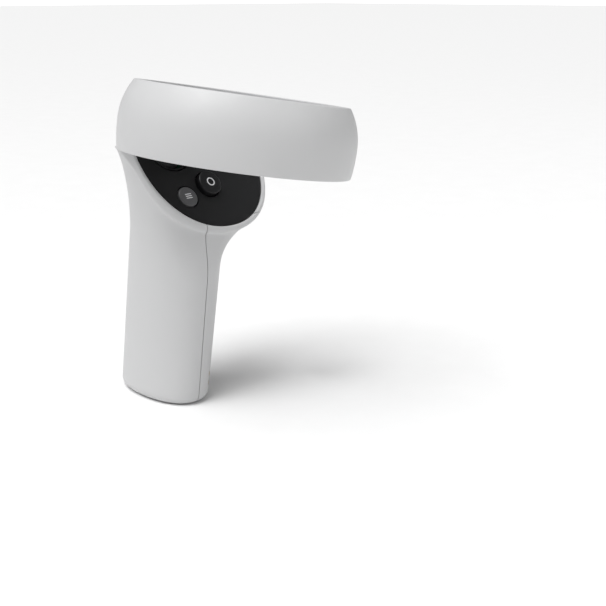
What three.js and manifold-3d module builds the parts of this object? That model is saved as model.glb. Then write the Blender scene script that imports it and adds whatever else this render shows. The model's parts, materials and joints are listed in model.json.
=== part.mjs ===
// A hand-held motion controller for the left hand, with its tracking ring, in millimetres and +Z up.
// The origin is the middle of the flat foot of the handle, +X points to the finger side,
// +Y away from the user (the trigger side), and the thumb controls face the user at -Y.
import * as THREE from "three";
import { mergeVertices } from "three/addons/utils/BufferGeometryUtils.js";
import Module from "manifold-3d";

const wasm = await Module();
wasm.setup();

// ---------------------------------------------------------------- driving dimensions
const WALL = 1.9;
const GAP = 0.3;

const LEAN_X = 0.1;
const LEAN_Y = -0.045;
const FOOT_HALF_WIDTH = 12.9;
const WIDTH_GROWTH = 0.035;
const FOOT_HALF_DEPTH = 23;
const DEPTH_GROWTH = -0.014;
const HANDLE_POWER = 2.2;
const FOOT_ROUND = 3.6;
const FLARE_START = { finger: 58, palm: 62, back: 66, front: 50 };
const RIM_DEPTH = { finger: 3.4, palm: 5, back: 22, front: 1.6 };

// the head swells out under the rim at its palm-side back corner
const SWELL = { angle: THREE.MathUtils.degToRad(136), width: THREE.MathUtils.degToRad(50), reach: 5.6 };

const PLATE_CENTRE = new THREE.Vector3(18.3, -3.3, 96.4);
const PLATE_TILT = THREE.MathUtils.degToRad(52.6);
const PLATE_YAW = THREE.MathUtils.degToRad(3.3);
const PLATE_HALF_WIDTH = 29.2;
const PLATE_HALF_LENGTH = 32.3;
const PLATE_POWER = 2.12;
const PLATE_THICKNESS = 1.8;
const RIM_WIDTH = { finger: 2.4, palm: 1.3, back: 4.4, front: 1.2 };
const LEDGE = 1.6;

const RING_CENTRE = new THREE.Vector3(21.7, -25.5, 108.6);
const RING_AXIS = new THREE.Vector3(0.158, -0.033, 0.987).normalize();
const RING_RADIUS = 46.3;
const RING_HALF_HEIGHT = 13.4;
const RING_WIDEST = -2.5;
const RING_TOP_RADIUS = 41.6;
const RING_FOOT_RADIUS = 45.4;
const RING_INNER_TOP = 37.9;
const RING_INNER_FOOT = 40.6;
const RING_WALL = 1.7;
const RING_LIP = 1.3;

const STICK = { h: -13, w: 4.2, hole: 9.6, pivotDepth: 9.5, skirt: 9.4 };
const BUTTONS = {
  x_button: { h: -2.3, w: -13.6, radius: 5.2, proud: 2.3 },
  y_button: { h: 4.4, w: 1, radius: 5.2, proud: 2.3 },
  menu_button: { h: -14.6, w: -17.3, radius: 4.3, proud: 0.5 },
};
const BOARD_DEPTH = 8.4;
const BOARD_THICKNESS = 1.2;

const CELL_RADIUS = 7.25;
const CELL_LENGTH = 50.5;
const CELL_FOOT = 8.2;
const CELL_OFFSET = { x: -0.8, y: -6.2 };

// side contacts of the cell, which face the battery cover, by height
const CELL_PADS = { cell_pad_upper: 46, cell_pad_lower: 34 };

const FRAME_SCREW_HEIGHTS = [14, 50];
const FRAME_SCREW_Y = 4.4;
const FRAME_TOP = 64;
const BRACKET = { low: 47, high: 53 };
const CHARGE_PIN_RADIUS = 0.8;
const STRAP_BAR = { x: -5.5, y: 14, z: 3.4, radius: 0.8, reach: 3, slotWidth: 3.4, slotDepth: 9 };
const BRACKET_SCREWS = [-3.8, 0, 3.8];
const CHARGE_PIN_ACROSS = [-3.2, 0, 3.2];
const CHARGE_PIN_HEIGHTS = [6.6, 10.6];
const MOTOR = { x: 1.6, y: 10.6, radius: 4.5, low: 24.2, high: 41.8 };

const COVER_TOP = 73;
const COVER_TOP_BACK = -16.5;
const COVER_SHOULDER = 46;
const COVER_BACK = -9;
const COVER_FACING = THREE.MathUtils.degToRad(-50);
const COVER_MIDDLE = -4.6;
const COVER_INNER = 11.8;

const FINGER_SHELL_TOP = 65;
const GRIP = { y: 5, z: 58.2, halfLength: 15.6, halfHeight: 9, tilt: 0.2, proud: 3, pinX: 10.4, pinZ: 64.6 };
const TRIGGER = { left: 7.5, right: 25, low: 73.6, high: 94.2, proud: 3.2, lip: 2.2, corner: 4.5, front: 6 };
const TRIGGER_WINDOW = { gap: 0.7, drop: 2, front: 1 };
const TRIGGER_PIVOT = { x: 19, y: 12.5, z: 91, hub: 8, pinRadius: 1.1 };

// ---------------------------------------------------------------- finishes
function finish(color, roughness, metalness) {
  return new THREE.MeshStandardMaterial({ color, roughness, metalness });
}

const WHITE = finish("#e6e7ea", 0.42, 0);
const PALE_GREY = finish("#c9cbd0", 0.5, 0);
const BLACK_PLATE = finish("#0d0e10", 0.22, 0);
const BLACK_RUBBER = finish("#15161a", 0.75, 0);
const DARK_PLASTIC = finish("#24262b", 0.6, 0);
const CELL_BLACK = finish("#16171b", 0.4, 0);
const STEEL = finish("#b4b6ba", 0.3, 1);
const GOLD = finish("#c9a24a", 0.3, 1);
const BOARD_GREEN = finish("#1c4a33", 0.55, 0);
const COPPER = finish("#a35b35", 0.4, 1);

// ---------------------------------------------------------------- solids and meshes
function toSolid(geometry, matrix) {
  const bare = geometry.clone();
  bare.deleteAttribute("normal");
  bare.deleteAttribute("uv");
  if (matrix) bare.applyMatrix4(matrix);
  const merged = mergeVertices(bare, 1e-4);
  const corners = merged.index.array;
  const triangles = [];
  for (let i = 0; i < corners.length; i += 3) {
    const [a, b, c] = [corners[i], corners[i + 1], corners[i + 2]];
    if (a !== b && b !== c && c !== a) triangles.push(a, b, c);
  }
  const points = merged.attributes.position.array;
  if (signedVolume(points, triangles) < 0) triangles.reverse();
  return new wasm.Manifold(
    new wasm.Mesh({
      numProp: 3,
      vertProperties: new Float32Array(points),
      triVerts: new Uint32Array(triangles),
    })
  );
}

function signedVolume(points, triangles) {
  const corner = (i) => new THREE.Vector3().fromArray(points, 3 * triangles[i]);
  let total = 0;
  for (let i = 0; i < triangles.length; i += 3) {
    total += corner(i).dot(corner(i + 1).cross(corner(i + 2))) / 6;
  }
  return total;
}

function toMesh(name, solid, material) {
  const { vertProperties, triVerts } = solid.getMesh();
  const geometry = new THREE.BufferGeometry();
  geometry.setAttribute("position", new THREE.BufferAttribute(vertProperties, 3));
  geometry.setIndex(new THREE.BufferAttribute(triVerts, 1));
  geometry.computeVertexNormals();
  const mesh = new THREE.Mesh(geometry, material);
  mesh.name = name;
  return mesh;
}

function moved(solid, matrix) {
  return solid.transform(matrix.elements);
}

function box(width, depth, height, x, y, z) {
  const matrix = new THREE.Matrix4().makeTranslation(x, y, z);
  return toSolid(new THREE.BoxGeometry(width, depth, height), matrix);
}

// a round bar from one point to another
function bar(from, to, radius, sides = 16, endRadius = radius) {
  const span = new THREE.Vector3().subVectors(to, from);
  const geometry = new THREE.CylinderGeometry(endRadius, radius, span.length(), sides);
  const turn = new THREE.Quaternion().setFromUnitVectors(new THREE.Vector3(0, 1, 0), span.clone().normalize());
  const middle = new THREE.Vector3().addVectors(from, to).multiplyScalar(0.5);
  return toSolid(geometry, new THREE.Matrix4().compose(middle, turn, new THREE.Vector3(1, 1, 1)));
}

// an upright bar standing at x, y
function post(radius, bottom, top, x = 0, y = 0, sides = 24, topRadius = radius) {
  return bar(new THREE.Vector3(x, y, bottom), new THREE.Vector3(x, y, top), radius, sides, topRadius);
}

// a solid of revolution about Z from its [radius, height] outline
function turned(outline, sides = 40) {
  const points = outline.map(([radius, height]) => new THREE.Vector2(radius, height));
  const closed = outline[0][0] < 1e-6 ? points : [...points, points[0].clone()];
  return toSolid(new THREE.LatheGeometry(closed, sides), new THREE.Matrix4().makeRotationX(Math.PI / 2));
}

// a prism of an [x, y] outline between two heights
function prism(outline, bottom, top) {
  const shape = new THREE.Shape(outline.map(([x, y]) => new THREE.Vector2(x, y)));
  const geometry = new THREE.ExtrudeGeometry(shape, { depth: top - bottom, bevelEnabled: false });
  return toSolid(geometry, new THREE.Matrix4().makeTranslation(0, 0, bottom));
}

// a prism of a [y, z] outline between two values of x
function sidePrism(outline, low, high) {
  const turn = new THREE.Matrix4().makeBasis(
    new THREE.Vector3(0, 1, 0),
    new THREE.Vector3(0, 0, 1),
    new THREE.Vector3(1, 0, 0)
  );
  return moved(prism(outline, low, high), turn);
}

// a closed skin through rings of points, with a flat fan at each end
function loft(rings) {
  const count = rings[0].length;
  const positions = rings.flat().flatMap((point) => point.toArray());
  const index = [];
  for (let row = 0; row + 1 < rings.length; row += 1) {
    for (let i = 0; i < count; i += 1) {
      const j = (i + 1) % count;
      const [a, b] = [row * count + i, row * count + j];
      index.push(a, b, b + count, a, b + count, a + count);
    }
  }
  for (const [row, flip] of [[0, true], [rings.length - 1, false]]) {
    const centre = positions.length / 3;
    const middle = new THREE.Vector3();
    rings[row].forEach((point) => middle.addScaledVector(point, 1 / count));
    positions.push(...middle.toArray());
    for (let i = 0; i < count; i += 1) {
      const pair = [row * count + i, row * count + ((i + 1) % count)];
      index.push(centre, ...(flip ? pair.reverse() : pair));
    }
  }
  const geometry = new THREE.BufferGeometry();
  geometry.setAttribute("position", new THREE.Float32BufferAttribute(positions, 3));
  geometry.setIndex(index);
  return toSolid(geometry);
}

function superPoint(angle, halfX, halfY, power) {
  const bend = (value) => Math.sign(value) * Math.abs(value) ** (2 / power);
  return [halfX * bend(Math.cos(angle)), halfY * bend(Math.sin(angle))];
}

function superOutline(halfX, halfY, power, count = 48) {
  return Array.from({ length: count }, (_, i) => superPoint((2 * Math.PI * i) / count, halfX, halfY, power));
}

// a closed coil spring wound about Z
function coil(radius, pitch, turns, wire) {
  const points = Array.from({ length: Math.round(turns * 10) + 1 }, (_, i) => {
    const angle = (2 * Math.PI * i) / 10;
    return new THREE.Vector3(radius * Math.cos(angle), radius * Math.sin(angle), (pitch * i) / 10);
  });
  const section = Array.from({ length: 5 }, (_, i) => {
    const angle = (2 * Math.PI * i) / 5;
    return new THREE.Vector2(wire * Math.cos(angle), wire * Math.sin(angle));
  });
  const extrudePath = new THREE.CatmullRomCurve3(points);
  const steps = Math.round(turns * 9);
  return toSolid(new THREE.ExtrudeGeometry(new THREE.Shape(section), { steps, extrudePath, bevelEnabled: false }));
}

// ---------------------------------------------------------------- frames of the head and the ring
const head = new THREE.Group();
head.position.copy(PLATE_CENTRE);
head.rotation.set(PLATE_TILT, 0, PLATE_YAW, "ZXY");
head.updateMatrixWorld();
const HEAD_TO_BODY = head.matrixWorld;
const BODY_TO_HEAD = HEAD_TO_BODY.clone().invert();

const ring = new THREE.Group();
ring.position.copy(RING_CENTRE);
ring.quaternion.setFromUnitVectors(new THREE.Vector3(0, 0, 1), RING_AXIS);
ring.updateMatrixWorld();
const RING_TO_BODY = ring.matrixWorld;

const handle = new THREE.Group();

// ---------------------------------------------------------------- body surface
function byAngle(values, angle) {
  const across = Math.cos(angle);
  const along = Math.sin(angle);
  const side = across > 0 ? values.finger : values.palm;
  const end = along > 0 ? values.back : values.front;
  return side * across ** 2 + end * along ** 2;
}

function handlePoint(angle, z, inset) {
  const halfX = FOOT_HALF_WIDTH + WIDTH_GROWTH * z - inset;
  const halfY = FOOT_HALF_DEPTH + DEPTH_GROWTH * z - inset;
  const [x, y] = superPoint(angle, halfX, halfY, HANDLE_POWER);
  return new THREE.Vector3(LEAN_X * z + x, LEAN_Y * z + y, z);
}

function rimPoint(angle, inset, sink) {
  const margin = inset > 0 ? -LEDGE : byAngle(RIM_WIDTH, angle) - inset;
  const halfX = PLATE_HALF_WIDTH + margin;
  const halfY = PLATE_HALF_LENGTH + margin;
  const [x, y] = superPoint(angle, halfX, halfY, PLATE_POWER);
  return new THREE.Vector3(x, y, -sink).applyMatrix4(HEAD_TO_BODY);
}

// the outside of the handle and head, pushed in by inset, closed by the plate's plane
function bodySolid(inset, columns = 44) {
  const angles = Array.from({ length: columns }, (_, i) => (2 * Math.PI * i) / columns);
  const rings = [];
  const footRadius = FOOT_ROUND - inset;
  for (let step = 0; step <= 3; step += 1) {
    const turn = (Math.PI / 2) * (step / 3);
    const z = inset + footRadius * (1 - Math.cos(turn));
    rings.push(angles.map((angle) => handlePoint(angle, z, inset + footRadius * (1 - Math.sin(turn)))));
  }
  const top = inset > 0 ? PLATE_THICKNESS : 0;
  const roof = angles.map((angle) => rimPoint(angle, inset, top));
  const sill = roof.map((point, i) => {
    const depth = byAngle(RIM_DEPTH, angles[i]) - (inset > 0 ? inset : 0);
    return point.clone().add(new THREE.Vector3(0, 0, -Math.max(depth, 1))).add(swell(angles[i]));
  });
  const hips = angles.map((angle) => handlePoint(angle, byAngle(FLARE_START, angle), inset));
  for (let step = 1; step <= 2; step += 1) {
    rings.push(angles.map((angle) => {
      const z = THREE.MathUtils.lerp(FOOT_ROUND, byAngle(FLARE_START, angle), step / 3);
      return handlePoint(angle, z, inset);
    }));
  }
  const flares = angles.map((angle, i) => flareCurve(angle, hips[i], sill[i]));
  for (let step = 0; step <= 7; step += 1) {
    rings.push(flares.map((curve) => curve.getPoint(step / 7)));
  }
  rings.push(roof);
  return loft(rings);
}

function swell(angle) {
  const away = Math.min(Math.abs(angle - SWELL.angle) / SWELL.width, 1);
  const reach = SWELL.reach * Math.cos((Math.PI / 2) * away) ** 2;
  return new THREE.Vector3(reach * Math.cos(SWELL.angle), reach * Math.sin(SWELL.angle), 0);
}

// from the top of the straight handle out to the sill under the rim
function flareCurve(angle, hip, sill) {
  const span = hip.distanceTo(sill);
  const up = new THREE.Vector3(LEAN_X, LEAN_Y, 1).normalize();
  const lift = hip.clone().addScaledVector(up, span * 0.42);
  const inward = new THREE.Vector3(PLATE_CENTRE.x - 8, PLATE_CENTRE.y, sill.z - 6);
  const pull = 0.12 + 0.3 * Math.max(Math.cos(angle), 0);
  const reach = sill.clone().lerp(inward, pull);
  return new THREE.CubicBezierCurve3(hip, lift, reach, sill);
}

// ---------------------------------------------------------------- ring surface
function ringOuterRadius(s) {
  const span = s > RING_WIDEST ? RING_HALF_HEIGHT - RING_WIDEST : RING_WIDEST + RING_HALF_HEIGHT;
  const edge = s > RING_WIDEST ? RING_TOP_RADIUS : RING_FOOT_RADIUS;
  return RING_RADIUS - (RING_RADIUS - edge) * (Math.abs(s - RING_WIDEST) / span) ** 2.2;
}

function ringInnerRadius(s) {
  const t = (s + RING_HALF_HEIGHT) / (2 * RING_HALF_HEIGHT);
  return RING_INNER_FOOT + (RING_INNER_TOP - RING_INNER_FOOT) * t;
}

function ringHeights(low, high, count) {
  return Array.from({ length: count + 1 }, (_, i) => low + ((high - low) * i) / count);
}

// everything outside the ring's inner face, from just below its lower edge upward
function ringZone(gap) {
  const low = -RING_HALF_HEIGHT - gap;
  const high = RING_HALF_HEIGHT + 30;
  const inner = [low, high].map((s) => [ringInnerRadius(s) - gap, s]);
  const zone = turned([...inner, [90, high], [90, low]], 96);
  return moved(zone, RING_TO_BODY);
}

// the inside of the handle and head, drawn in by more than the wall
function innerSpace(gap) {
  return bodySolid(WALL + gap).subtract(ringZone(GAP + WALL + gap));
}

const OUTER_BODY = bodySolid(0).subtract(ringZone(GAP));
const SHELL = OUTER_BODY.subtract(innerSpace(0));
const SHELL_CORE = bodySolid(1.4).subtract(ringZone(GAP + 0.6));
const INNER_SPACE = innerSpace(GAP);
const HEAD_SPACE = moved(INNER_SPACE, BODY_TO_HEAD);

// upright handle coordinates, which the lean carries along the handle's centre line
const LEAN = new THREE.Matrix4().set(1, 0, LEAN_X, 0, 0, 1, LEAN_Y, 0, 0, 0, 1, 0, 0, 0, 0, 1);

function leaning(solid) {
  return moved(solid, LEAN);
}

function inHandle(x, y, z) {
  return new THREE.Vector3(x, y, z).applyMatrix4(LEAN);
}

// a point at the battery cover: across it, outward from the handle's middle, and up
function atCover(across, outward, z) {
  const [c, s] = [Math.cos(COVER_FACING), Math.sin(COVER_FACING)];
  const along = COVER_MIDDLE + across;
  return inHandle(c * outward - s * along, s * outward + c * along, z);
}

function coverBox(width, inner, outer, low, high, across = 0) {
  const block = box(outer - inner, width, high - low, (inner + outer) / 2, COVER_MIDDLE + across, (low + high) / 2);
  return leaning(moved(block, new THREE.Matrix4().makeRotationZ(COVER_FACING)));
}

// ---------------------------------------------------------------- shell regions
function coverRegion(gap) {
  const outline = [
    [-40, -5],
    [COVER_BACK - gap, -5],
    [COVER_BACK - gap, COVER_SHOULDER - gap],
    [COVER_TOP_BACK - gap, COVER_TOP - gap],
    [-40, COVER_TOP - gap],
  ];
  return leaning(sidePrism(outline, gap, 60));
}

function fingerRegion(gap) {
  const rise = 0.3;
  const outline = [
    [-40, WALL + 1 + gap],
    [40, WALL + 1 + gap],
    [40, FINGER_SHELL_TOP + rise * 40 - gap],
    [-40, FINGER_SHELL_TOP - rise * 40 - gap],
  ];
  return leaning(sidePrism(outline, gap, 60));
}

function gripOutline(gap) {
  const [c, s] = [Math.cos(GRIP.tilt), Math.sin(GRIP.tilt)];
  const oval = superOutline(GRIP.halfLength + gap, GRIP.halfHeight + gap, 2.5, 32);
  return oval.map(([along, up]) => [GRIP.y + c * along - s * up, GRIP.z + s * along + c * up]);
}

function gripRegion(gap) {
  return leaning(sidePrism(gripOutline(gap), 2, 60));
}

function roundedOutline(left, right, low, high, radius) {
  const corners = [[right, high, 0], [left, high, 1], [left, low, 2], [right, low, 3]];
  return corners.flatMap(([x, y, quarter]) =>
    Array.from({ length: 5 }, (_, i) => {
      const angle = (Math.PI / 2) * (quarter + i / 4);
      const [towardX, towardY] = [x === left ? 1 : -1, y === low ? 1 : -1];
      return [x + radius * (towardX + Math.cos(angle)), y + radius * (towardY + Math.sin(angle))];
    })
  );
}

// the rounded outline of the trigger seen from behind, carried through the back wall from a given y
function triggerRegion(gap, drop = 0, front = TRIGGER.front) {
  const { left, right, low, high, corner } = TRIGGER;
  const outline = roundedOutline(left - gap, right + gap, low - gap - drop, high + gap, corner + gap);
  const turn = new THREE.Matrix4().makeRotationX(Math.PI / 2);
  return moved(prism(outline, -60, -front), turn);
}

// ---------------------------------------------------------------- shells
// the seat that the face plate drops into
function plateRecess() {
  const outline = superOutline(PLATE_HALF_WIDTH + GAP, PLATE_HALF_LENGTH + GAP, PLATE_POWER);
  return moved(prism(outline, -PLATE_THICKNESS - GAP, 25), HEAD_TO_BODY);
}

function palmShell() {
  let shell = SHELL.subtract(plateRecess())
    .subtract(fingerRegion(-GAP / 2))
    .subtract(coverRegion(-GAP / 2))
    .subtract(gripRegion(0.7))
    .subtract(triggerRegion(TRIGGER_WINDOW.gap, TRIGGER_WINDOW.drop, TRIGGER_WINDOW.front))
    .subtract(stickClearance());
  for (const z of FRAME_SCREW_HEIGHTS) {
    const boss = bar(inHandle(-18, FRAME_SCREW_Y, z), inHandle(-7.4, FRAME_SCREW_Y, z), 2.8);
    const hole = bar(inHandle(-10.4, FRAME_SCREW_Y, z), inHandle(-5, FRAME_SCREW_Y, z), 1.15);
    shell = shell.add(boss.intersect(OUTER_BODY)).subtract(hole);
  }
  for (const side of [-1, 1]) {
    const { x, y, z, hub } = TRIGGER_PIVOT;
    const place = x + side * (hub / 2 + 1.6);
    const ear = box(1.8, 5.4, 6.3, place, y, z + 1.15).add(box(1.8, 6, 2.6, place, y + 2.6, z + 4));
    shell = shell.add(ear.intersect(SHELL_CORE));
  }
  shell = shell.subtract(triggerPinBar(TRIGGER_PIVOT.pinRadius + GAP, TRIGGER_PIVOT.hub / 2 + 3.4));
  return toMesh("palm_shell", largest(shell.subtract(strapNotch())), WHITE);
}

// room in the palm shell's wall for the thumbstick's skirt at full tilt
function stickClearance() {
  const ball = toSolid(new THREE.SphereGeometry(STICK.skirt + 0.5, 32, 20));
  return moved(ball.translate([STICK.h, STICK.w, -STICK.pivotDepth]), HEAD_TO_BODY);
}

function fingerShell() {
  let shell = SHELL.intersect(fingerRegion(GAP / 2))
    .subtract(coverRegion(-GAP / 2))
    .subtract(gripRegion(0.7));
  for (const side of [-1, 1]) {
    const y = GRIP.y + side * 12.4;
    const centre = inHandle(GRIP.pinX + 2, y, GRIP.pinZ - 0.6);
    const ear = box(9, 2.2, 5, centre.x, centre.y, centre.z);
    shell = shell.add(ear.intersect(bodySolid(0.6)).intersect(fingerRegion(GAP / 2)).subtract(gripRegion(0.7)));
  }
  return toMesh("finger_shell", largest(shell.subtract(gripPinBar(1 + GAP, 14.6))), WHITE);
}

function largest(solid) {
  const pieces = solid.decompose();
  return pieces.reduce((best, piece) => (piece.volume() > best.volume() ? piece : best));
}

function batteryCover() {
  let cover = SHELL.intersect(coverRegion(GAP / 2)).subtract(plateRecess());
  for (const point of chargePinPlaces()) cover = cover.subtract(chargePinBar(point, CHARGE_PIN_RADIUS + GAP));
  return toMesh("battery_cover", largest(cover), WHITE);
}

// a narrow slot through the foot at the palm side, with the strap's bar across it
function strapNotch() {
  const { x, y, radius, reach, slotWidth, slotDepth } = STRAP_BAR;
  const slot = box(slotWidth, slotDepth, slotDepth, x, y, 0);
  return slot.add(strapBarSolid(radius + GAP, reach + GAP));
}

function strapBarSolid(radius, reach) {
  const { x, y, z } = STRAP_BAR;
  return bar(new THREE.Vector3(x - reach, y, z), new THREE.Vector3(x + reach, y, z), radius, 16);
}

function strapBar() {
  return toMesh("strap_bar", strapBarSolid(STRAP_BAR.radius, STRAP_BAR.reach), STEEL);
}

// ---------------------------------------------------------------- face plate and its controls, in the head's frame
function facePlate() {
  const outline = superOutline(PLATE_HALF_WIDTH, PLATE_HALF_LENGTH, PLATE_POWER);
  let plate = prism(outline, -PLATE_THICKNESS, 0).subtract(moved(ringZone(GAP), BODY_TO_HEAD));
  plate = plate.subtract(post(STICK.hole, -5, 5, STICK.h, STICK.w, 40));
  for (const { h, w, radius } of Object.values(BUTTONS)) {
    plate = plate.subtract(post(radius + GAP, -5, 5, h, w, 28));
  }
  return toMesh("face_plate", largest(plate), BLACK_PLATE);
}

function buttonSolid({ h, w, radius, proud }) {
  const flange = radius + 0.9;
  const under = -PLATE_THICKNESS - GAP;
  const solid = turned([
    [0, under - 1.5],
    [2, under - 1.5],
    [2, under - 0.9],
    [flange, under - 0.9],
    [flange, under],
    [radius, under],
    [radius, proud - 0.7],
    [radius - 0.25, proud - 0.2],
    [radius - 0.9, proud],
    [0, proud + 0.25],
  ], 28);
  return solid.translate([h, w, 0]);
}

function buttons() {
  return Object.entries(BUTTONS).map(([name, button]) => toMesh(name, buttonSolid(button), BLACK_RUBBER));
}

function buttonMembrane() {
  const base = -BOARD_DEPTH + GAP;
  let sheet = box(34, 32, 1, -4, -9, base + 0.5).intersect(HEAD_SPACE);
  sheet = sheet.subtract(post(STICK.hole + 1.2, -20, 0, STICK.h, STICK.w, 32));
  for (const { h, w } of Object.values(BUTTONS)) {
    sheet = sheet.add(post(3.6, base + 0.5, base + 2.6, h, w, 24, 2.2));
  }
  return toMesh("button_membrane", largest(sheet), PALE_GREY);
}

function mainBoard() {
  const outline = superOutline(PLATE_HALF_WIDTH - 3, PLATE_HALF_LENGTH - 3, PLATE_POWER, 48);
  let board = prism(outline, -BOARD_DEPTH - BOARD_THICKNESS, -BOARD_DEPTH).intersect(HEAD_SPACE);
  board = board.subtract(box(14.2, 14.2, 8, STICK.h, STICK.w, -BOARD_DEPTH));
  for (const [h, w, width, depth] of [[2, -6, 7, 7], [15, 4, 4, 9], [-6, -15, 5, 3]]) {
    board = board.add(box(width, depth, 1.4, h, w, -BOARD_DEPTH - BOARD_THICKNESS - 0.6).intersect(HEAD_SPACE));
  }
  return toMesh("main_board", largest(board), BOARD_GREEN);
}

// ---------------------------------------------------------------- thumbstick, about its pivot under the plate
const stick = new THREE.Group();
stick.position.set(STICK.h, STICK.w, -STICK.pivotDepth);
head.add(stick);

// the free space inside the head, about the stick's pivot
function stickSpace() {
  return moved(HEAD_SPACE, new THREE.Matrix4().makeTranslation(-STICK.h, -STICK.w, STICK.pivotDepth));
}

function stickBezel() {
  const top = STICK.pivotDepth;
  const bezel = turned([
    [STICK.hole - GAP, top - 0.1],
    [STICK.hole - 0.9, top - 0.1],
    [8, top - 2.4],
    [8, top - 3],
    [STICK.hole + 0.8, top - 3],
    [STICK.hole + 0.8, top - PLATE_THICKNESS - GAP],
    [STICK.hole - GAP, top - PLATE_THICKNESS - GAP],
  ]);
  const room = stickSpace().add(post(STICK.hole - GAP, 0, top + 1));
  return toMesh("stick_bezel", bezel.intersect(room), BLACK_PLATE);
}

function arcPoints(radius, fromAngle, toAngle, count) {
  return Array.from({ length: count + 1 }, (_, i) => {
    const angle = fromAngle + ((toAngle - fromAngle) * i) / count;
    return [radius * Math.sin(angle), radius * Math.cos(angle)];
  });
}

// the thumb cap with its neck and the ball-shaped skirt that closes the hole in the plate
function thumbstick() {
  const neck = 3;
  const { skirt } = STICK;
  const skirtEdge = THREE.MathUtils.degToRad(50);
  const outside = arcPoints(skirt, skirtEdge, Math.asin(neck / skirt), 5);
  const inside = arcPoints(skirt - 1, Math.asin(1.9 / (skirt - 1)), skirtEdge, 5);
  const cap = turned([
    [0, 14.7],
    [1.9, 14.7],
    ...inside,
    ...outside,
    [neck, 12.2],
    [3.6, 13.4],
    [6.3, 13.7],
    [6.9, 14.5],
    [6.9, 15.6],
    [6.5, 16.5],
    [5.8, 16.8],
    [5, 16.5],
    [3.4, 16.1],
    [0, 15.9],
  ], 32);
  return toMesh("thumbstick", cap, BLACK_RUBBER);
}

function stickRocker() {
  const ball = toSolid(new THREE.SphereGeometry(2.1, 16, 10));
  const pin = bar(new THREE.Vector3(0, -3.5, 0), new THREE.Vector3(0, 3.5, 0), 0.8, 16);
  return toMesh("stick_rocker", ball.add(pin).add(post(1.55, 0, 14, 0, 0, 20)), STEEL);
}

function stickYoke() {
  const frame = box(9, 7.6, 2.4, 0, 0, 0).subtract(box(5.6, 5.2, 4, 0, 0, 0));
  const pins = bar(new THREE.Vector3(-6.2, 0, 0), new THREE.Vector3(6.2, 0, 0), 0.8, 16).subtract(box(7, 4, 4, 0, 0, 0));
  const bearings = bar(new THREE.Vector3(0, -6, 0), new THREE.Vector3(0, 6, 0), 1.1, 16);
  return toMesh("stick_yoke", frame.add(pins).subtract(bearings), DARK_PLASTIC);
}

function stickModule() {
  const body = box(13.2, 13.2, 7.2, 0, 0, -1.4).intersect(stickSpace());
  const hollow = box(10.6, 10.6, 9, 0, 0, 0.7);
  const bearings = bar(new THREE.Vector3(-9, 0, 0), new THREE.Vector3(9, 0, 0), 1.1, 16);
  return toMesh("stick_module", largest(body.subtract(hollow).subtract(bearings)), DARK_PLASTIC);
}

// ---------------------------------------------------------------- tracking ring, in the ring's frame
function ringOuterShell() {
  const lipTop = RING_HALF_HEIGHT - RING_LIP;
  const outer = ringHeights(-RING_HALF_HEIGHT, RING_HALF_HEIGHT, 8).map((s) => [ringOuterRadius(s), s]);
  const inner = ringHeights(lipTop, -lipTop, 4).map((s) => [ringOuterRadius(s) - RING_WALL, s]);
  const shell = turned([
    [ringInnerRadius(-RING_HALF_HEIGHT), -RING_HALF_HEIGHT],
    ...outer,
    [ringInnerRadius(RING_HALF_HEIGHT), RING_HALF_HEIGHT],
    [ringInnerRadius(lipTop), lipTop],
    ...inner,
    [ringInnerRadius(-lipTop), -lipTop],
  ], 60);
  return toMesh("ring_outer_shell", shell, WHITE);
}

function band(low, high, innerOffset, thickness) {
  return turned([
    [ringInnerRadius(low) + innerOffset, low],
    [ringInnerRadius(low) + innerOffset + thickness, low],
    [ringInnerRadius(high) + innerOffset + thickness, high],
    [ringInnerRadius(high) + innerOffset, high],
  ], 60);
}

function ringLiner() {
  const edge = RING_HALF_HEIGHT - RING_LIP - GAP;
  return toMesh("ring_liner", band(-edge, edge, 0, 1.2), PALE_GREY);
}

function ringLedStrip() {
  return toMesh("ring_led_strip", band(-6, 6, 2, 0.5), COPPER);
}

// ---------------------------------------------------------------- trigger
function triggerPinBar(radius, reach) {
  const { x, y, z } = TRIGGER_PIVOT;
  return bar(new THREE.Vector3(x - reach, y, z), new THREE.Vector3(x + reach, y, z), radius, 20);
}

// a pad that follows the back of the head, with a lip at its foot and a hub on the pin
function trigger() {
  const { x, y, z, hub } = TRIGGER_PIVOT;
  const pad = bodySolid(-TRIGGER.proud).subtract(bodySolid(0.6)).intersect(triggerRegion(0));
  const foot = box(60, 60, 5, 16, 30, TRIGGER.low + 2.5);
  const lip = bodySolid(-TRIGGER.proud - TRIGGER.lip).subtract(bodySolid(-TRIGGER.proud + 1)).intersect(foot);
  const arm = box(hub, 9, 5.6, x, y + 4.5, z - 0.4).intersect(bodySolid(-1));
  const knuckle = bar(new THREE.Vector3(x - hub / 2, y, z), new THREE.Vector3(x + hub / 2, y, z), 2.8, 24);
  const springSlot = box(3.6, 8.4, 8.4, x, y - 1, z);
  const body = pad.add(lip.intersect(triggerRegion(0))).add(arm).add(knuckle);
  const bored = body.subtract(triggerPinBar(TRIGGER_PIVOT.pinRadius + GAP, 20)).subtract(springSlot);
  return toMesh("trigger", largest(bored.subtract(ringZone(0.8))), WHITE);
}

function triggerPin() {
  return toMesh("trigger_pin", triggerPinBar(TRIGGER_PIVOT.pinRadius, TRIGGER_PIVOT.hub / 2 + 2.3), STEEL);
}

function triggerSpring() {
  const { x, y, z } = TRIGGER_PIVOT;
  const turn = new THREE.Matrix4().makeRotationY(Math.PI / 2);
  turn.setPosition(x - 1.3, y, z);
  return toMesh("trigger_spring", moved(coil(1.9, 0.7, 3.6, 0.25), turn), STEEL);
}

// ---------------------------------------------------------------- grip button
function gripPinBar(radius, reach) {
  const { pinX, y, pinZ } = GRIP;
  return bar(inHandle(pinX, y - reach, pinZ), inHandle(pinX, y + reach, pinZ), radius, 20);
}

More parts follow.
